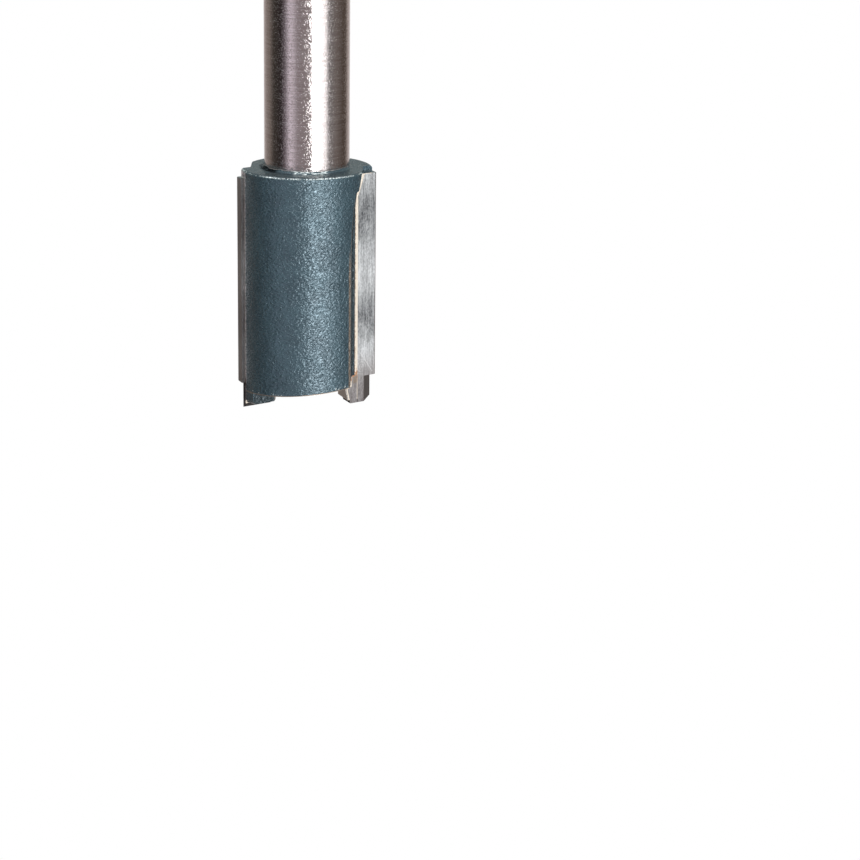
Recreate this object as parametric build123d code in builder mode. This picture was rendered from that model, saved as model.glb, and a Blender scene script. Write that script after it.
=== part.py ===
from build123d import *

import os
from math import cos, radians, sin

# Two-flute straight router bit, in millimetres. It stands on the end of its shank, nose up.
# Heights named "from the shoulder" are measured towards the nose, from where the body starts.

# Shank
shank_dia = 12.0
shank_length = 40.0
shank_chamfer = 1.0
shoulder_fillet = 0.4

# Cutter body: each wing is turned off-centre, so that its trailing land lies deeper and limits the chip
cutting_dia = 20.0
clear_behind_tip = 0.7
clear_at_land = 1.15
wing_span = 130.0
body_length = 31.0
rim_fillet = 0.4
end_slope = 0.085

# Long tips: where the cutting edge lies, how the face leans and how the flank is relieved
flute_count = 2
edge_angle = -10.0
face_lean = 33.0
flank_relief = 10.0
tip_thickness = 1.8
tip_width = 3.1
tip_start = 1.15
tip_clip_width = 1.1
tip_clip_height = 3.1
edge_land = 0.2

# Nose: the long tips step in near the body's end, and run on past it to the end face
nose_lead = 0.4
nose_length = 3.4
nose_step = 2.0
nose_flare = 18.0
end_relief = 8.0

# Short plunge tips beside the nose: they start before the body's end and jog inwards past it
plunge_width = 1.0
plunge_lead = 0.8
plunge_top_slope = 0.33
plunge_jog_past = 0.9
plunge_jog_rise = 0.35
plunge_jog_width = 0.7
plunge_foot_width = 1.2

# Toes of steel that back the noses
toe_set_back = 0.5
toe_depth = 4.2
toe_margin = 0.3
toe_taper = 4.0
toe_heel_lean = 38.0
toe_round = 0.6

# Brazed seams
seam_width = 0.5
plunge_seam_width = 0.18
braze_film = 0.08

# Flutes, ground by a wheel that runs out towards the shoulder and leaves a ledge there
flute_floor = 6.37
flute_tilt = 2.4
flute_corner_radius = 0.35
flute_rise_shoulder = 1.52
flute_rise_ledge = 1.11
flute_ledge_step = 0.42
flute_ledge_height = 2.5
flute_ledge_run = 0.2
flute_runout_height = 12.0

# Sizes that follow from those above
shank_radius = shank_dia / 2
cutting_radius = cutting_dia / 2
reach = 2 * cutting_radius
wing_shift = (clear_at_land - clear_behind_tip) / (1 - cos(radians(wing_span)))
wing_radius = cutting_radius - clear_behind_tip - wing_shift
overrun = 1.0
nose_start = body_length - nose_lead
nose_end = body_length + nose_length
plunge_start = body_length - plunge_lead
plunge_jog_height = body_length + plunge_jog_past
end_height = shank_length + nose_end
toe_end = nose_end - toe_set_back

edge_x = cutting_radius * cos(radians(edge_angle))
edge_y = cutting_radius * sin(radians(edge_angle))
lean = radians(face_lean)
back_x = -sin(lean)
back_y = -cos(lean)

# The plane of a rake face: x runs inwards from the cutting edge, y towards the nose
face_plane = Plane(
    origin=(edge_x, edge_y, shank_length),
    x_dir=(-cos(lean), sin(lean), 0),
    z_dir=(sin(lean), cos(lean), 0),
)

# The relieved flank behind the cutting edge
flank_angle = radians(edge_angle - flank_relief)
flank_plane = Plane(
    origin=(edge_x, edge_y, shank_length),
    z_dir=(cos(flank_angle), sin(flank_angle), 0),
)


def end_plane(height):
    """The end face at a height from the shoulder, falling away behind the rake face."""
    slope = radians(end_relief)
    return Plane(
        origin=(edge_x, edge_y, shank_length + height),
        z_dir=(back_x * sin(slope), back_y * sin(slope), cos(slope)),
    )


# Outlines on the face plane, each as inward distance and height from the shoulder
side_outline = [
    (-overrun, tip_start),
    (tip_width - tip_clip_width, tip_start),
    (tip_width, tip_start + tip_clip_height),
    (tip_width, nose_end + overrun),
    (-overrun, nose_end + overrun),
]

side_seat_outline = [
    (-overrun, tip_start - braze_film),
    (tip_width - tip_clip_width + seam_width, tip_start - braze_film),
    (tip_width + seam_width, tip_start + tip_clip_height),
    (tip_width + seam_width, plunge_start + plunge_top_slope * seam_width),
    (tip_width, plunge_start),
    (tip_width, nose_end + overrun),
    (-overrun, nose_end + overrun),
]

plunge_inner = tip_width + plunge_width
jog_inner = plunge_inner + plunge_jog_width


def plunge_outline(seam):
    """Outline of a plunge tip, or of its seat when the seam's width is given."""
    near = tip_width + (0 if seam else braze_film)
    return [
        (near, plunge_start + braze_film - seam),
        (plunge_inner + seam, plunge_start + braze_film + plunge_top_slope * plunge_width - seam),
        (plunge_inner + seam, plunge_jog_height - seam),
        (jog_inner + seam, plunge_jog_height + plunge_jog_rise - seam),
        (tip_width + plunge_foot_width + seam, nose_end),
        (tip_width + plunge_foot_width + seam, nose_end + overrun),
        (near, nose_end + overrun),
    ]


# Wing stock: half of an off-centre drum with a rounded rim, divided where a flute is cut
wing_middle = radians(edge_angle - wing_span / 2)
wing_plane = Plane(origin=(0, 0, shank_length), z_dir=(cos(wing_middle), sin(wing_middle), 0))

with BuildPart() as wing:
    with BuildSketch(Plane.XY.offset(shank_length)):
        with Locations((wing_shift * edge_x / cutting_radius, wing_shift * edge_y / cutting_radius)):
            Circle(wing_radius)
    extrude(amount=nose_end)
    rim = wing.edges().filter_by(GeomType.CIRCLE).sort_by(Axis.Z)[0]
    fillet(rim, rim_fillet)
    split(bisect_by=wing_plane, keep=Keep.TOP)

# Flute: the profile of its floor, cut straight through in front of the rake face
tilt = radians(flute_tilt)
flute_plane = Plane(
    origin=(0, 0, shank_length),
    x_dir=(cos(tilt), sin(tilt), 0),
    z_dir=(sin(tilt), -cos(tilt), 0),
)
ledge_top = (flute_floor + flute_rise_ledge, flute_ledge_height)
ledge_foot = (
    flute_floor + flute_rise_ledge - flute_ledge_step,
    flute_ledge_height + flute_ledge_run,
)
runout_foot = (flute_floor, flute_runout_height)

with BuildPart() as flute:
    with BuildSketch(flute_plane):
        with BuildLine():
            Polyline(
                (reach, -overrun),
                (flute_floor + flute_rise_shoulder, -overrun),
                (flute_floor + flute_rise_shoulder, 0),
                ledge_top,
                ledge_foot,
            )
            TangentArc(runout_foot, ledge_foot, tangent=(0, -1))
            Polyline(
                runout_foot,
                (flute_floor, nose_end + overrun),
                (reach, nose_end + overrun),
                (reach, -overrun),
            )
        make_face()
    extrude(amount=reach, both=True)
    split(bisect_by=face_plane, keep=Keep.TOP)
    corner = flute.edges().filter_by(Axis.Z).sort_by_distance((0, 0, end_height))[0]
    fillet(corner, flute_corner_radius)

# Seats for the tips, open at the rake face and past the nose
seat_depth = tip_thickness + braze_film

with BuildPart() as side_seat:
    with BuildSketch(face_plane):
        Polygon(*side_seat_outline, align=None)
    extrude(amount=-seat_depth)

with BuildPart() as plunge_seat:
    with BuildSketch(face_plane):
        Polygon(*plunge_outline(plunge_seam_width), align=None)
    extrude(amount=-seat_depth)

# Toe: the steel behind the nose, bounded by the drum and rounded at its foot
toe_inner = jog_inner + plunge_seam_width + toe_margin
toe_foot_inner = tip_width + plunge_foot_width + plunge_seam_width + toe_margin
heel_angle = radians(face_lean - toe_heel_lean)
heel_plane = Plane(
    origin=face_plane.from_local_coords((toe_inner, 0, -seat_depth)),
    z_dir=(-cos(heel_angle), sin(heel_angle), 0),
)

with BuildPart() as toe:
    with BuildSketch(face_plane):
        Polygon(
            (-cutting_radius, body_length - 2 * overrun),
            (toe_inner, body_length - 2 * overrun),
            (toe_inner, plunge_jog_height),
            (toe_foot_inner, toe_end),
            (toe_foot_inner, toe_end + overrun),
            (-cutting_radius, toe_end + overrun),
            align=None,
        )
    extrude(amount=-toe_depth, taper=toe_taper)
    split(bisect_by=heel_plane, keep=Keep.BOTTOM)
    split(bisect_by=end_plane(toe_end), keep=Keep.BOTTOM)
    add(wing.part, mode=Mode.INTERSECT)
    toe_rim = toe.edges().filter_by(GeomType.ELLIPSE)
    fillet(toe_rim, toe_round)

# Relief on the end of the body: one half, falling towards the trailing end of its wing
with BuildPart() as end_cut:
    with BuildSketch(Plane.XZ.offset(-reach)):
        Polygon(
            (-reach, shank_length + body_length + end_slope * reach),
            (reach, shank_length + body_length - end_slope * reach),
            (reach, end_height + reach),
            (-reach, end_height + reach),
            align=None,
        )
    extrude(amount=reach)

# Body: shank and wings in one, then relieved at the end, fluted and seated
with BuildPart() as body:
    with BuildSketch(Plane.XZ):
        Polygon(
            (0, 0),
            (shank_radius - shank_chamfer, 0),
            (shank_radius, shank_chamfer),
            (shank_radius, shank_length + overrun),
            (0, shank_length + overrun),
            align=None,
        )
    revolve(axis=Axis.Z)
    with PolarLocations(0, flute_count):
        add(wing.part)
    circles = body.edges().filter_by(GeomType.CIRCLE)
    shoulder = circles.filter_by_position(Axis.Z, shank_length, shank_length)
    fillet(shoulder.group_by(SortBy.RADIUS)[0], shoulder_fillet)
    with PolarLocations(0, flute_count):
        add(end_cut.part, mode=Mode.SUBTRACT)
    with PolarLocations(0, flute_count):
        add(toe.part)
    with PolarLocations(0, flute_count):
        add(flute.part, mode=Mode.SUBTRACT)
        add(side_seat.part, mode=Mode.SUBTRACT)
        add(plunge_seat.part, mode=Mode.SUBTRACT)

# Long tip: flat face, relieved flank, a narrow land on the edge and a stepped nose
nose_front = face_plane.from_local_coords((nose_step, nose_start, 0))
nose_plane = Plane(
    origin=nose_front,
    x_dir=(cos(radians(nose_flare)), sin(radians(nose_flare)), 0),
    z_dir=(0, 0, 1),
)

with BuildPart() as notch:
    with BuildSketch(nose_plane):
        Rectangle(reach, 2 * reach, align=(Align.MIN, Align.CENTER))
    extrude(amount=nose_end)

with BuildPart() as side_tip:
    with BuildSketch(face_plane):
        Polygon(*side_outline, align=None)
    extrude(amount=-tip_thickness)
    split(bisect_by=flank_plane, keep=Keep.BOTTOM)
    split(bisect_by=end_plane(nose_end), keep=Keep.BOTTOM)
    edge_top = (edge_x, edge_y, shank_length + tip_start)
    cutting_edge = side_tip.edges().filter_by(Axis.Z).sort_by_distance(edge_top)[0]
    chamfer(cutting_edge, edge_land)
    add(notch.part, mode=Mode.SUBTRACT)

# Plunge tip: a short blade beside the nose, wider where it clears the body
with BuildPart() as plunge_tip:
    with BuildSketch(face_plane):
        Polygon(*plunge_outline(0), align=None)
    extrude(amount=-tip_thickness)
    split(bisect_by=end_plane(nose_end), keep=Keep.BOTTOM)

# Brazed seams: what is left of each seat around its tip
with BuildPart() as side_braze:
    add(side_seat.part)
    add(side_tip.part, mode=Mode.SUBTRACT)
    add(plunge_seat.part, mode=Mode.SUBTRACT)
    add(notch.part, mode=Mode.SUBTRACT)
    add(wing.part, mode=Mode.INTERSECT)
    split(bisect_by=end_plane(toe_end), keep=Keep.BOTTOM)

with BuildPart() as plunge_braze:
    add(plunge_seat.part)
    add(plunge_tip.part, mode=Mode.SUBTRACT)
    add(side_tip.part, mode=Mode.SUBTRACT)
    split(bisect_by=end_plane(toe_end), keep=Keep.BOTTOM)

# Each repeated piece is turned about the axis to its own flute
os.makedirs("parts", exist_ok=True)
body.part.label = "body"
export_step(body.part, "parts/body.step")

repeated = {
    "side_tip": side_tip.part,
    "plunge_tip": plunge_tip.part,
    "side_braze": side_braze.part,
    "plunge_braze": plunge_braze.part,
}
for name, piece in repeated.items():
    for index in range(flute_count):
        turned = piece.rotate(Axis.Z, 360 * index / flute_count)
        turned.label = f"{name}_{index + 1}"
        export_step(turned, f"parts/{turned.label}.step")
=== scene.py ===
import math

import bmesh
import bpy
from mathutils import Matrix, Vector

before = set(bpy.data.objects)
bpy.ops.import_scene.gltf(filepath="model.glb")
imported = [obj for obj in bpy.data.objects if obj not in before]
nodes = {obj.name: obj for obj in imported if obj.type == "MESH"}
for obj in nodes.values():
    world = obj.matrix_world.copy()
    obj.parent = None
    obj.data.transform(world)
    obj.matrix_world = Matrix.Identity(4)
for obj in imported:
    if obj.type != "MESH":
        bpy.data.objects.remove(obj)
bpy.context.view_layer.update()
print("frame loaded:", len(nodes), "nodes")


# Camera: the photo has the tool shank up, so the camera looks from below floor level, rolled half a turn
cameraSetup = {
    "place": (0.0, 0.4028, -0.0365),
    "turnDegrees": 2.527,  # to the photo's right
    "riseDegrees": 15.926,  # towards the nose
    "rollDegrees": 0.694,  # keeps the shank upright in the frame
    "lens": 121.4,
    "sensor": 36.0,
    "clip": (0.01, 20),
}


def makeCamera(setup):
    turn, rise = math.radians(setup["turnDegrees"]), math.radians(setup["riseDegrees"])
    ahead = Vector((math.sin(turn) * math.cos(rise), -math.cos(turn) * math.cos(rise), math.sin(rise)))
    across = ahead.cross(Vector((0, 0, -1))).normalized()
    above = across.cross(ahead)
    roll = math.radians(setup["rollDegrees"])
    right = across * math.cos(roll) + above * math.sin(roll)
    turned = Matrix((right, right.cross(ahead), -ahead)).transposed().to_4x4()
    data = bpy.data.cameras.new("photoCamera")
    data.lens = setup["lens"]
    data.sensor_width = setup["sensor"]
    data.clip_start, data.clip_end = setup["clip"]
    camera = bpy.data.objects.new("photoCamera", data)
    camera.matrix_world = Matrix.Translation(Vector(setup["place"])) @ turned
    bpy.context.scene.collection.objects.link(camera)
    bpy.context.scene.camera = camera


makeCamera(cameraSetup)
print("camera placed")


# Shader sums: a Wire is one output socket, and sums on wires add Math nodes
class Wire:
    def __init__(self, tree, socket):
        self.tree, self.socket = tree, socket

    def maths(self, operation, *terms):
        node = self.tree.nodes.new("ShaderNodeMath")
        node.operation = operation
        for place, term in zip(node.inputs, terms):
            if isinstance(term, Wire):
                self.tree.links.new(term.socket, place)
            else:
                place.default_value = term
        return Wire(self.tree, node.outputs[0])

    def __add__(self, other):
        return self.maths("ADD", self, other)

    def __radd__(self, other):
        return self.maths("ADD", other, self)

    def __sub__(self, other):
        return self.maths("SUBTRACT", self, other)

    def __rsub__(self, other):
        return self.maths("SUBTRACT", other, self)

    def __mul__(self, other):
        return self.maths("MULTIPLY", self, other)

    def __rmul__(self, other):
        return self.maths("MULTIPLY", other, self)

    def __truediv__(self, other):
        return self.maths("DIVIDE", self, other)

    def __abs__(self):
        return self.maths("ABSOLUTE", self)

    def larger(self, other):
        return self.maths("MAXIMUM", self, other)

    def smaller(self, other):
        return self.maths("MINIMUM", self, other)

    def sign(self):
        return self.maths("SIGN", self)

    # From 1 down to 0 and back, once for each turn
    def wave(self):
        turned = self * (2 * math.pi)
        return turned.maths("COSINE", turned) * 0.5 + 0.5

    # Turns from the other axis towards this one, from -0.5 to 0.5
    def turnsFrom(self, other):
        return self.maths("ARCTAN2", self, other) / (2 * math.pi)


# The nodes of one material, or of the world
class Finish:
    def __init__(self, owner):
        owner.use_nodes = True
        self.owner, self.tree = owner, owner.node_tree
        self.tree.nodes.clear()

    # Any node but Math: settings are set first, then the values or links of its sockets
    def node(self, kind, settings=None, sockets=None, out=0):
        node = self.tree.nodes.new("ShaderNode" + kind)
        for key, value in (settings or {}).items():
            if key == "stops":
                stops = node.color_ramp.elements
                while len(stops) < len(value):
                    stops.new(0.5)
                for stop, (place, tone) in zip(stops, value):
                    stop.position, stop.color = place, (*tone, 1)
            else:
                setattr(node, key, value)
        for key, value in (sockets or {}).items():
            if isinstance(value, Wire):
                self.tree.links.new(value.socket, node.inputs[key])
            else:
                node.inputs[key].default_value = value
        return Wire(self.tree, node.outputs[out]) if len(node.outputs) else None

    def place(self):
        return self.node("TexCoord", out="Object")

    def xyz(self, vector):
        return [self.node("SeparateXYZ", {}, {"Vector": vector}, axis) for axis in "XYZ"]

    def vector(self, x, y, z):
        return self.node("CombineXYZ", {}, {"X": x, "Y": y, "Z": z})

    def length(self, x, y, z):
        return self.node("VectorMath", {"operation": "LENGTH"}, {0: self.vector(x, y, z)}, "Value")

    def noise(self, vector, scale, detail, rough, distortion=0.0):
        sockets = {"Vector": vector, "Scale": scale, "Detail": detail, "Roughness": rough}
        sockets["Distortion"] = distortion
        return self.node("TexNoise", {"noise_dimensions": "3D"}, sockets, "Fac")

    # 0 below low, 1 above high, smooth between
    def rise(self, value, low, high):
        sockets = {"Value": value, "From Min": low, "From Max": high}
        return self.node("MapRange", {"interpolation_type": "SMOOTHSTEP", "clamp": True}, sockets, "Result")

    def fall(self, value, low, high):
        return 1 - self.rise(value, low, high)

    # A value's span from low to high, spread over the values asked for
    def spread(self, value, low, high, least=0.0, most=1.0):
        sockets = {"Value": value, "From Min": low, "From Max": high, "To Min": least, "To Max": most}
        return self.node("MapRange", {"clamp": True}, sockets, "Result")

    def mix(self, share, first, second):
        sockets = {0: share, 6: first, 7: second}
        return self.node("Mix", {"data_type": "RGBA"}, sockets, 2)

    def bump(self, height, distance, under=None):
        sockets = {"Height": height, "Strength": 1.0, "Distance": distance}
        if under is not None:
            sockets["Normal"] = under
        return self.node("Bump", {}, sockets, "Normal")

    def surface(self, sockets):
        shader = self.node("BsdfPrincipled", {}, sockets, "BSDF")
        self.node("OutputMaterial", {}, {"Surface": shader})
        return self.owner


# Levels of 255, as a picture gives them, to a shader's colour
def colour(levels):
    return tuple(((c / 255 + 0.055) / 1.055) ** 2.4 if c > 10 else c / 3294.6 for c in levels) + (1.0,)


def dress(names, material):
    for name in names:
        node = nodes[name]
        node.data.materials.clear()
        node.data.materials.append(material)


black = (0.0, 0.0, 0.0, 1.0)
white = (1.0, 1.0, 1.0, 1.0)
noiseSpan = (0.35, 0.65)  # where most of a noise's values lie
fineNoiseSpan = (0.3, 0.7)


# The tip's face, in metres: where its cutting edge is, and how its plane leans
cutterFace = {
    "radius": 0.010,
    "edgeDegrees": -10.0,
    "leanDegrees": 33.0,
}


# How far a spot is inward along the face from the cutting edge, and how far out of the face
def faceSpots(x, y):
    edge, lean = math.radians(cutterFace["edgeDegrees"]), math.radians(cutterFace["leanDegrees"])
    edgeX, edgeY = cutterFace["radius"] * math.cos(edge), cutterFace["radius"] * math.sin(edge)
    side = x.sign()
    nearX, nearY = x * side, y * side  # both flutes read as one
    inward = (nearX - edgeX) * -math.cos(lean) + (nearY - edgeY) * math.sin(lean)
    outward = (nearX - edgeX) * math.sin(lean) + (nearY - edgeY) * math.cos(lean)
    return inward, outward


# The wings of the drum, in metres: off-centre by their shift, each on its side of the flutes
wingShape = {
    "radius": 0.009026,
    "shift": 0.000274,
    "shiftDegrees": -10.0,
    "middleDegrees": -75.0,
}


def wingDistance(finish, x, y):
    middle, lead = math.radians(wingShape["middleDegrees"]), math.radians(wingShape["shiftDegrees"])
    side = (x * math.cos(middle) + y * math.sin(middle)).sign()
    acrossX = x * side - wingShape["shift"] * math.cos(lead)
    acrossY = y * side - wingShape["shift"] * math.sin(lead)
    return finish.length(acrossX, acrossY, 0.0)


# Body: bare ground shank, painted drum. Lengths are in metres, and a pair of them is where a soft edge starts
# and ends. A noise has its scale, detail, roughness and distortion.
bodyLook = {
    # steel
    "steelDark": (168, 160, 158),
    "steelLight": (190, 184, 184),
    "steelRoughness": (0.1, 0.17),
    "ringNoise": (170.0, 4.0, 0.75),
    "ringSqueeze": 40.0,  # along the axis
    "ringDepth": 0.000004,
    "speckNoise": (4600.0, 2.0, 0.6, 0.4),
    "speckGaps": (0.5, 0.7),
    "speckDepth": 0.00001,
    # paint
    "paintDark": (50, 73, 84),
    "paintLight": (62, 87, 98),
    "paintMetallic": 0.4,
    "paintRoughness": (0.22, 0.46),
    "paintIor": 1.9,
    "paintStart": (0.03962, 0.0397),
    "cloudNoise": (420.0, 4.0, 0.6),
    "peelNoise": (2150.0, 1.0, 0.4, 0.6),
    "peelStretch": 1.6,
    "peelLean": 0.3,
    "peelDepth": 0.00018,
    "grainNoise": (4730.0, 1.0, 0.5),
    "dotNoise": (3010.0, 1.0, 0.5),
    "dotGaps": (0.56, 0.7),
    "dotDepth": 0.00004,
    "waverNoise": (700.0, 2.0, 0.5),
    "waverReach": 0.0005,
    # painted highlight: a thin broken line of pale bare steel on the rounded rim of the shoulder
    "paleToneAndHighlightColour": (226, 232, 232),
    "rimHeight": 0.04013,
    "rimWaver": 0.0002,
    "rimWidth": (0.00004, 0.00011),
    "rimInset": (0.0005, 0.0003),
    "rimGaps": (0.48, 0.52),
    # painted shade at one side of the shank's foot, in the corner by the shoulder
    "footShade": (22, 22, 22),
    "footShadeStrength": 0.9,
    "footShadeRoughness": 0.5,  # added to the paint's
    "footShadeReach": (0.0064, 0.0069),
    "footShadeTop": (0.0402, 0.0403),
    "footShadeSide": (-0.0048, -0.0034),
    "footShadeGaps": (0.4, 0.5),
    # painted highlight in front of the shank's foot, drawn as pale metallic specks
    "glintLeft": (-0.0024, -0.0014),
    "glintRight": (0.0024, 0.0034),
    "glintFront": (0.004, 0.005),
    "glintReach": (0.0074, 0.0084),
    "glintTop": (0.0401, 0.0403),
    "glintNoise": (2200.0, 3.0, 0.6),
    "glintStretch": (0.6, 1.6),
    "glintGaps": (0.5, 0.56),
    # ground end, with its relief, and the toes on it
    "bareColour": (152, 138, 126),
    "toeColour": (204, 200, 196),
    "endHeight": 0.071,
    "endSlope": 0.085,
    "endWaver": 0.4,
    "endFrom": (-0.00014, -0.00006),
    "endTo": (0.00004, 0.00008),
    "toeFoot": (0.0, 0.00005),
    "toeInner": (0.0043, 0.0044),
    "endSpecksInset": 0.00034,
    "endSpecksWidth": (0.0001, 0.0002),
    "endSpecksDots": (0.2, 0.6),
    "endSpecksGaps": (0.46, 0.5),
    "groundMetallic": 0.9,
    "groundRoughness": 0.15,  # added to the paint's
    "wheelNoise": (600.0, 3.0, 0.7),
    "wheelSqueeze": 12.0,
    "wheelDepth": 0.00002,
    # flute, and the bare line along its edge
    "drumInset": (0.00012, 0.00006),
    "fluteTilt": 2.4,
    "fluteWaver": 0.3,
    "fluteEdge": (0.00611, 0.00621),
    "fluteFront": (0.003, 0.004),
    "fluteLineFrom": (0.05, 0.054),
    "fluteLineMetallic": 0.6,
    "fluteFrom": (0.0404, 0.0408),
    "fluteShade": 0.55,
    # strip behind each tip that the wheel has scuffed, painted pale: scuffed steel and a painted highlight
    "scuffGlintColour": (236, 230, 236),
    "scuffGlintBehind": (-0.0024, -0.0019),
    "scuffGlintBefore": (-0.0002, 0.0),
    "scuffGlintWaver": 0.0014,
    "scuffGlintFrom": (0.0401, 0.0403),
    "scuffGlintGaps": (0.42, 0.52),
}


def makeBodyFinish(look):
    finish = Finish(bpy.data.materials.new("paintedBody"))
    rise, fall, mix = finish.rise, finish.fall, finish.mix
    spot = finish.place()
    x, y, z = finish.xyz(spot)
    fromAxis = finish.length(x, y, 0.0)
    fromWing = wingDistance(finish, x, y)
    inward, outward = faceSpots(x, y)
    paleToneAndHighlight, bare = colour(look["paleToneAndHighlightColour"]), colour(look["bareColour"])

    # Steel: fine rings left by the grinder, and specks
    rings = finish.noise(finish.vector(x, y, z * look["ringSqueeze"]), *look["ringNoise"])
    specks = finish.noise(spot, *look["speckNoise"])
    steel = mix(finish.spread(rings, *noiseSpan), colour(look["steelDark"]), colour(look["steelLight"]))
    steelRough = finish.spread(specks * 0.6 + rings * 0.4, *noiseSpan, *look["steelRoughness"])

    # Paint: orange peel with finer grain on it, raised dots and cloudy colour
    wrinkled = finish.vector(x, y, z * look["peelStretch"] + x * look["peelLean"])
    peel = finish.noise(wrinkled, *look["peelNoise"])
    grain = finish.noise(wrinkled, *look["grainNoise"])
    dots = rise(finish.noise(wrinkled, *look["dotNoise"]), *look["dotGaps"])
    cloud = finish.noise(spot, *look["cloudNoise"])
    paint = mix(finish.spread(cloud, *noiseSpan), colour(look["paintDark"]), colour(look["paintLight"]))
    paintRough = finish.spread(grain, *fineNoiseSpan, *look["paintRoughness"])

    # Where the paint starts, with a slightly uneven edge
    waver = (finish.noise(spot, *look["waverNoise"]) - 0.5) * look["waverReach"]
    share = rise(z + waver, *look["paintStart"])

    # Painted highlight on the rim at the shoulder: a thin broken line of pale bare steel, standing in for the
    # light the rounded rim catches
    rim = rise(fromWing, *[wingShape["radius"] - inset for inset in look["rimInset"]])
    offLine = abs(z + (cloud - 0.5) * look["rimWaver"] - look["rimHeight"])
    rim = rim * fall(offLine, *look["rimWidth"]) * rise(grain * 0.5 + cloud * 0.5, *look["rimGaps"])
    paint = mix(rim, paint, paleToneAndHighlight)

    # At the shank's foot: painted shade at one side, and a painted highlight in front
    shadedFoot = fall(fromAxis + waver, *look["footShadeReach"]) * fall(z, *look["footShadeTop"])
    shadedFoot = shadedFoot * fall(x + waver * 3, *look["footShadeSide"])
    shadedFoot = shadedFoot * rise(grain * 0.4 + cloud * 0.6, *look["footShadeGaps"])
    paint = mix(shadedFoot * look["footShadeStrength"], paint, colour(look["footShade"]))
    # Painted highlight: pale metallic specks in front of the foot, where the shoulder catches the light
    glint = rise(x + waver, *look["glintLeft"]) * fall(x + waver, *look["glintRight"])
    glint = glint * rise(y, *look["glintFront"]) * fall(fromAxis, *look["glintReach"])
    stretchX, stretchY = look["glintStretch"]
    glintBreakup = finish.noise(finish.vector(x * stretchX, y * stretchY, z), *look["glintNoise"])
    glint = glint * fall(z, *look["glintTop"]) * rise(glintBreakup, *look["glintGaps"])
    paint = mix(glint, paint, paleToneAndHighlight)

    # The flute's floor and walls get painted shade, with a bare line along the edge and painted highlight
    # specks by the end's rim
    onDrum = rise(fromWing, *[wingShape["radius"] - inset for inset in look["drumInset"]])
    tilt, side = math.radians(look["fluteTilt"]), x.sign()
    fluteSide = (x * math.cos(tilt) + y * math.sin(tilt)) * side
    fluteLine = rise(fluteSide + waver * look["fluteWaver"], *look["fluteEdge"]) * onDrum
    fluteLine = fluteLine * rise(y * side, *look["fluteFront"]) * rise(z, *look["fluteLineFrom"])
    # Painted shade: the flute's floor and walls darkened towards black
    paint = mix((1 - onDrum) * rise(z, *look["fluteFrom"]) * look["fluteShade"], paint, black)
    pastEnd = z - (look["endHeight"] - x * y.sign() * look["endSlope"])
    # Painted highlight: pale specks along the rim of the end
    endSpecks = fall(abs(pastEnd + look["endSpecksInset"]), *look["endSpecksWidth"])
    endSpecks = endSpecks * rise(dots, *look["endSpecksDots"]) * rise(cloud, *look["endSpecksGaps"])
    paint = mix(endSpecks, paint, paleToneAndHighlight)

    # The end was ground after painting: its relief, its rim and the inner wall of each toe are bare
    endFace = rise(pastEnd + waver * look["endWaver"], *look["endFrom"]) * fall(pastEnd, *look["endTo"])
    toeWall = rise(pastEnd, *look["toeFoot"]) * rise(inward, *look["toeInner"])
    ground = toeWall.larger(endFace)
    squeezed = finish.vector(x, y * look["wheelSqueeze"], z * look["wheelSqueeze"])
    wheelMarks = finish.noise(squeezed, *look["wheelNoise"])
    groundTone = mix(finish.spread(wheelMarks, *noiseSpan), colour(look["toeColour"]), bare)
    paint = mix(ground, paint, groundTone)
    paint = mix(fluteLine.larger(endFace * onDrum), paint, bare)

    # Behind each tip the wheel that ground its flank has scuffed the drum; the strip is painted pale, scuffed
    # steel and a painted highlight in one
    scuffGlint = rise(outward + (specks - 0.5) * look["scuffGlintWaver"], *look["scuffGlintBehind"])
    scuffGlint = scuffGlint * fall(outward, *look["scuffGlintBefore"]) * onDrum
    scuffGlint = scuffGlint * rise(z, *look["scuffGlintFrom"]) * rise(specks, *look["scuffGlintGaps"])
    paint = mix(scuffGlint, paint, colour(look["scuffGlintColour"]))

    painted, bareShank = share * (1 - ground), 1 - share
    normal = finish.bump((peel * 0.85 + grain * 0.15) * painted, look["peelDepth"])
    normal = finish.bump(dots * painted, look["dotDepth"], normal)
    normal = finish.bump(rings * bareShank, look["ringDepth"], normal)
    normal = finish.bump(wheelMarks * ground, look["wheelDepth"], normal)
    normal = finish.bump(rise(specks, *look["speckGaps"]) * bareShank, look["speckDepth"], normal)
    unmetallic = share * (1 - look["paintMetallic"]) * (1 - rim.larger(glint)) * (1 - shadedFoot)
    unmetallic = unmetallic * (1 - fluteLine * look["fluteLineMetallic"])
    unmetallic = unmetallic * (1 - ground * look["groundMetallic"])
    rough = steelRough * bareShank + paintRough * share
    rough = rough + ground * look["groundRoughness"] + shadedFoot * share * look["footShadeRoughness"]
    return finish.surface({
        "Base Color": mix(share, steel, paint),
        "Metallic": 1 - unmetallic,
        "Roughness": rough,
        "IOR": look["paintIor"],
        "Normal": normal,
    })


dress(["body"], makeBodyFinish(bodyLook))
print("body finished")


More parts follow.
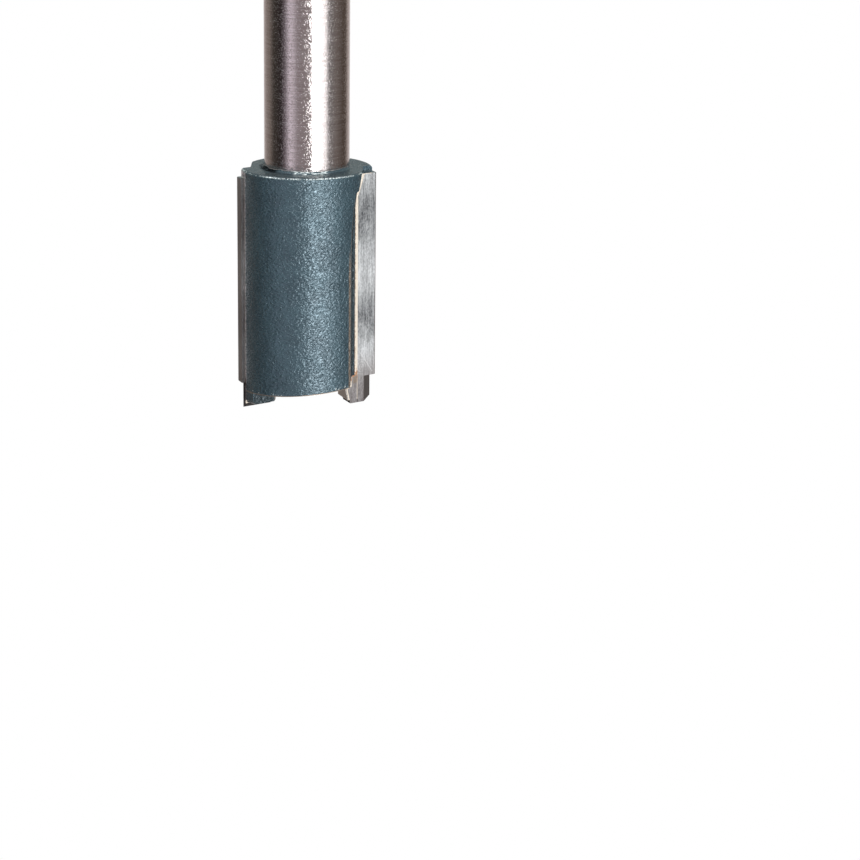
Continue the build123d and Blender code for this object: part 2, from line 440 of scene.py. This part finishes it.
# Carbide tips: ground faces with fine scratches along them and brighter patches
carbideLook = {
    "base": (80, 82, 86),
    "paleToneAndHighlight": (236, 238, 240),
    "metallic": 0.85,
    "roughness": (0.32, 0.48),
    "lineNoise": (5000.0, 3.0, 0.75),
    "lineStretch": 0.06,  # along the tip
    "fineNoise": (6000.0, 2.0, 0.6),
    "fineStretch": 0.5,
    "patchNoise": (520.0, 3.0, 0.65),
    "patchStretch": 0.6,
    "lineDepth": 0.000008,
    "toneSpan": (0.4, 0.6),
    "streakSpan": (0.42, 0.58),
    "shadeParts": (0.25, 0.5, 0.25),  # of the cloudy tone, the painted highlight bands and the streaks
    "pit": (96, 96, 98),
    "pitNoise": (4600.0, 3.0, 0.7),
    "pitGaps": (0.63, 0.68),
    "pitStrength": 0.5,
    "highlightBandHeight": 0.0558,  # a band of painted highlight, and the next ones this far before and after
    "highlightBandSteps": (0.0175, 0.0118),
    "highlightBandWaver": 0.004,
    # cutting edge with a painted dark reflection, sides of the nose with painted shade, and a stain by the
    # step
    "edgeLandReflection": (84, 78, 76),
    "edgeLandReflectionStrength": 0.8,
    "landWidth": (0.00012, 0.00022),
    "noseTone": (150, 138, 136),
    "noseToneStrength": 0.5,
    "noseToneFrom": (0.066, 0.0705),
    "noseSideShade": (50, 46, 46),
    "noseSideShadeStrength": 0.95,
    "sideFrom": (0.07055, 0.0706),
    "sideBehind": (-0.00006, -0.00002),
    "stain": (150, 128, 100),
    "stainStrength": 0.55,
    "stainFrom": (0.0702, 0.0706),
    "stainTo": (0.0713, 0.0719),
    "stainWaver": 0.001,
    "stainOuter": (0.0031, 0.0033),
    "stainInner": (0.0037, 0.0041),
    # swirls and a scratch on the tip at x > 0, placed inward from the cutting edge and along the axis
    "marksFrom": (0.0, 0.001),
    "scratch": (232, 232, 232),
    "scratchStrength": 0.6,
    "scratchFrom": (0.0016, 0.0686),
    "scratchSlope": 0.7,
    "scratchWidth": (0.00003, 0.00009),
    "scratchStart": (0.0666, 0.067),
    "scratchEnd": (0.07, 0.0703),
    "swirlMiddle": (0.0024, 0.0692),
    "swirlStrength": 0.35,
    "swirlStep": 0.00036,
    "swirlReach": (0.0009, 0.0015),
    "swirlWaver": 0.0002,
    "swirlGaps": (0.4, 0.5),
}


def makeCarbideFinish(look):
    finish = Finish(bpy.data.materials.new("groundCarbide"))
    rise, fall, mix = finish.rise, finish.fall, finish.mix
    spot = finish.place()
    x, y, z = finish.xyz(spot)
    inward, outward = faceSpots(x, y)
    scratch = colour(look["scratch"])

    # Lines and streaks along the tip, cloudy tone, and bands of painted highlight along the face
    lines = finish.noise(finish.vector(x, y, z * look["lineStretch"]), *look["lineNoise"])
    fine = finish.noise(finish.vector(x, y, z * look["fineStretch"]), *look["fineNoise"])
    patches = finish.noise(finish.vector(x, y, z * look["patchStretch"]), *look["patchNoise"])
    before, after = look["highlightBandSteps"]
    past = z - look["highlightBandHeight"] + (patches - 0.5) * look["highlightBandWaver"]
    highlightBand = (past.smaller(0.0) / before + past.larger(0.0) / after).wave()
    tone = finish.spread(patches * 0.4 + lines * 0.4 + fine * 0.2, *look["toneSpan"])
    streaks = finish.spread(lines * 0.5 + fine * 0.5, *look["streakSpan"])
    tonePart, highlightBandPart, streakPart = look["shadeParts"]
    light = tone * tonePart + highlightBand * highlightBandPart + streaks * streakPart
    shade = mix(light, colour(look["base"]), colour(look["paleToneAndHighlight"]))
    shade = mix(rise(z, *look["noseToneFrom"]) * look["noseToneStrength"], shade, colour(look["noseTone"]))

    # Near the nose a grinding wheel has left swirls and a long scratch
    onSeenTip = rise(x, *look["marksFrom"])
    swirlX, swirlZ = look["swirlMiddle"]
    fromMiddle = finish.length(inward - swirlX, (fine - 0.5) * look["swirlWaver"], z - swirlZ)
    waves = (fromMiddle / look["swirlStep"]).wave()
    swirls = waves * waves * onSeenTip * fall(fromMiddle, *look["swirlReach"])
    shade = mix(swirls * rise(patches, *look["swirlGaps"]) * look["swirlStrength"], shade, scratch)
    scratchX, scratchZ = look["scratchFrom"]
    offScratch = abs((inward - scratchX) + (z - scratchZ) * look["scratchSlope"])
    scratched = fall(offScratch, *look["scratchWidth"]) * onSeenTip
    scratched = scratched * rise(z, *look["scratchStart"]) * fall(z, *look["scratchEnd"])
    shade = mix(scratched * look["scratchStrength"], shade, scratch)

    # The polished land along the cutting edge gets a painted dark reflection, the nose's sides painted shade,
    # with a stain by the step
    shade = mix(fall(inward, *look["landWidth"]) * look["edgeLandReflectionStrength"], shade, colour(look["edgeLandReflection"]))
    # Painted shade: the nose's sides darkened
    noseSide = rise(z, *look["sideFrom"]) * fall(outward, *look["sideBehind"])
    shade = mix(noseSide * look["noseSideShadeStrength"], shade, colour(look["noseSideShade"]))
    stained = rise(inward, *look["stainOuter"]) * fall(inward, *look["stainInner"])
    stained = stained * rise(z, *look["stainFrom"])
    stained = stained * fall(z + (patches - 0.5) * look["stainWaver"], *look["stainTo"])
    shade = mix(stained * look["stainStrength"], shade, colour(look["stain"]))

    pits = rise(finish.noise(spot, *look["pitNoise"]), *look["pitGaps"])
    return finish.surface({
        "Base Color": mix(pits * look["pitStrength"], shade, colour(look["pit"])),
        "Metallic": look["metallic"],
        "Roughness": finish.spread(lines, *fineNoiseSpan, *look["roughness"]),
        "Normal": finish.bump(lines * 0.6 + fine * 0.4, look["lineDepth"]),
    })


dress(["side_tip_1", "side_tip_2", "plunge_tip_1", "plunge_tip_2"], makeCarbideFinish(carbideLook))
print("tips finished")


# Brazed seams: pale silver, copper where the flux pooled near the nose
brazeLook = {
    "pale": (240, 227, 211),
    "metallic": 0.5,
    "roughness": (0.34, 0.5),
    "lumpNoise": (2600.0, 3.0, 0.6),
    "lumpDepth": 0.00004,
    "uneven": 0.0006,
    "fringe": (150, 116, 84),
    "fringeStrength": 0.8,
    "fringeOuter": (0.00348, 0.00358),  # inward from the cutting edge, about where the seam ends
    "fringeInner": (0.0037, 0.0038),
    "copper": (176, 116, 70),
    "copperStrength": 0.85,
    "copperFrom": (0.0697, 0.0702),
    "copperTo": (0.0709, 0.0714),
}


def makeBrazeFinish(look):
    finish = Finish(bpy.data.materials.new("silverBraze"))
    rise, fall, mix = finish.rise, finish.fall, finish.mix
    spot = finish.place()
    x, y, z = finish.xyz(spot)
    inward = faceSpots(x, y)[0]
    lumps = finish.noise(spot, *look["lumpNoise"])
    uneven = (lumps - 0.5) * look["uneven"]
    fringe = rise(inward + uneven, *look["fringeOuter"]) * fall(inward, *look["fringeInner"])
    shade = mix(fringe * look["fringeStrength"], colour(look["pale"]), colour(look["fringe"]))
    nearNose = rise(z + uneven * 6, *look["copperFrom"]) * fall(z + uneven * 3, *look["copperTo"])
    return finish.surface({
        "Base Color": mix(nearNose * look["copperStrength"], shade, colour(look["copper"])),
        "Metallic": look["metallic"],
        "Roughness": finish.spread(lumps, *fineNoiseSpan, *look["roughness"]),
        "Normal": finish.bump(lumps, look["lumpDepth"]),
    })


dress(["side_braze_1", "side_braze_2", "plunge_braze_1", "plunge_braze_2"], makeBrazeFinish(brazeLook))
print("seams finished")


# Floor: a pale round table that fades into the white background before its rim
floorLook = {
    "radius": 0.105,
    "segments": 96,
    "fade": (0.045, 0.1),
    "tone": (0.86, 0.86, 0.86),
    "roughness": 0.7,
    # what the metal mirrors is painted: the table glows grey to reflection rays only, and a strip in front of
    # the tool glows brighter
    "tableGlowInReflections": (0.3, 0.3, 0.3),
    "glowStripInReflections": (1.5, 1.6, 1.6),
    "glowStripBack": (-0.004, -0.001),
    "glowStripFront": (0.03, 0.033),
}


def makeFloor(look):
    shape = bmesh.new()
    bmesh.ops.create_circle(shape, cap_ends=True, segments=look["segments"], radius=look["radius"])
    mesh = bpy.data.meshes.new("tableTop")
    shape.to_mesh(mesh)
    shape.free()
    floor = bpy.data.objects.new("tableTop", mesh)
    bpy.context.scene.collection.objects.link(floor)
    finish = Finish(bpy.data.materials.new("paleTable"))
    x, y = finish.xyz(finish.place())[:2]
    # Painted reflection: the table glows only to reflection rays, brightest on a strip in front of the tool
    # that lights the rim and shoulder
    onGlowStrip = finish.rise(y, *look["glowStripBack"]) * finish.fall(y, *look["glowStripFront"])
    mirrored = finish.mix(onGlowStrip, (*look["tableGlowInReflections"], 1.0), (*look["glowStripInReflections"], 1.0))
    mesh.materials.append(finish.surface({
        "Base Color": (*look["tone"], 1.0),
        "Roughness": look["roughness"],
        "Alpha": finish.fall(finish.length(x, y, 0.0), *look["fade"]),
        "Emission Color": finish.mix(finish.node("LightPath", out="Is Glossy Ray"), black, mirrored),
        "Emission Strength": 1.0,
    }))


makeFloor(floorLook)
print("floor laid")


# Lamps: angle round the tool from the camera's side towards the photo's right
lampSetup = {
    "key": {
        "angle": 22,
        "away": 0.5,
        "width": 0.11,
        "height": 0.46,
        "middle": 0.07,
        "watts": 2.0,
        "tint": (0.96, 0.99, 1.0),
        "mirrored": True,
    },
    "fill": {
        "angle": 22,
        "away": 0.6,
        "width": 0.6,
        "height": 0.6,
        "middle": 0.1,
        "watts": 1.4,
        "tint": (0.97, 0.99, 1.0),
        "mirrored": False,
    },
}
lampTarget = Vector((0, 0, 0.05))


def makeLamps(setup):
    for name, lamp in setup.items():
        turn = math.radians(lamp["angle"])
        place = Vector((lamp["away"] * math.sin(turn), lamp["away"] * math.cos(turn), lamp["middle"]))
        data = bpy.data.lights.new(name + "Lamp", "AREA")
        data.shape, data.size, data.size_y = "RECTANGLE", lamp["width"], lamp["height"]
        data.energy, data.color = lamp["watts"], lamp["tint"]
        light = bpy.data.objects.new(name + "Lamp", data)
        light.location = place
        light.rotation_mode = "QUATERNION"
        light.rotation_quaternion = (place - lampTarget).to_track_quat("Z", "Y")
        light.visible_camera = False
        light.visible_glossy = lamp["mirrored"]
        bpy.context.scene.collection.objects.link(light)


makeLamps(lampSetup)


# World: white to the camera, and a studio of pale and dark cards to the metal
worldLook = {
    "plain": (0.15, 0.15, 0.15),
    "ceiling": (0.5, 0.5, 0.5),
    "ceilingFrom": (0.5, 0.85),
    "below": (0.42, 0.5, 0.48),
    "belowFrom": (-0.03, -0.12),
    # angle from the camera's side towards the photo's right, and the card's colour there
    "cards": [
        (-180, (0.9, 0.85, 0.84)),
        (-150, (0.55, 0.48, 0.45)),
        (-137, (0.4, 0.34, 0.31)),
        (-120, (0.34, 0.29, 0.26)),
        (-101, (0.08, 0.07, 0.06)),
        (-72, (0.04, 0.03, 0.03)),
        (-60, (0.28, 0.24, 0.27)),
        (-47, (1.2, 1.1, 1.22)),
        (-37, (0.96, 0.88, 0.96)),
        (-26, (0.46, 0.4, 0.42)),
        (14, (0.42, 0.37, 0.37)),
        (19, (2.4, 2.4, 2.4)),
        (50, (2.4, 2.4, 2.4)),
        (61, (0.36, 0.35, 0.35)),
        (84, (0.3, 0.26, 0.24)),
        (117, (0.12, 0.09, 0.07)),
        (128, (0.16, 0.13, 0.11)),
        (141, (0.6, 0.52, 0.48)),
        (165, (0.9, 0.85, 0.84)),
    ],
}


def makeWorld(look):
    world = bpy.data.worlds.new("studio")
    bpy.context.scene.world = world
    finish = Finish(world)
    x, y, z = finish.xyz(finish.node("TexCoord", out="Generated"))
    stops = [(angle / 360 + 0.5, card) for angle, card in look["cards"]]
    cards = finish.node("ValToRGB", {"stops": stops}, {"Fac": x.turnsFrom(y) + 0.5}, "Color")
    cards = finish.mix(finish.rise(z, *look["ceilingFrom"]), cards, (*look["ceiling"], 1.0))
    cards = finish.mix(finish.rise(z, *look["belowFrom"]), cards, (*look["below"], 1.0))
    tone = finish.mix(finish.node("LightPath", out="Is Glossy Ray"), (*look["plain"], 1.0), cards)
    tone = finish.mix(finish.node("LightPath", out="Is Camera Ray"), tone, white)
    background = finish.node("Background", {}, {"Color": tone, "Strength": 1.0})
    finish.node("OutputWorld", {}, {"Surface": background})


makeWorld(worldLook)
bpy.context.scene.view_settings.view_transform = "Standard"
print("lamps and world set")
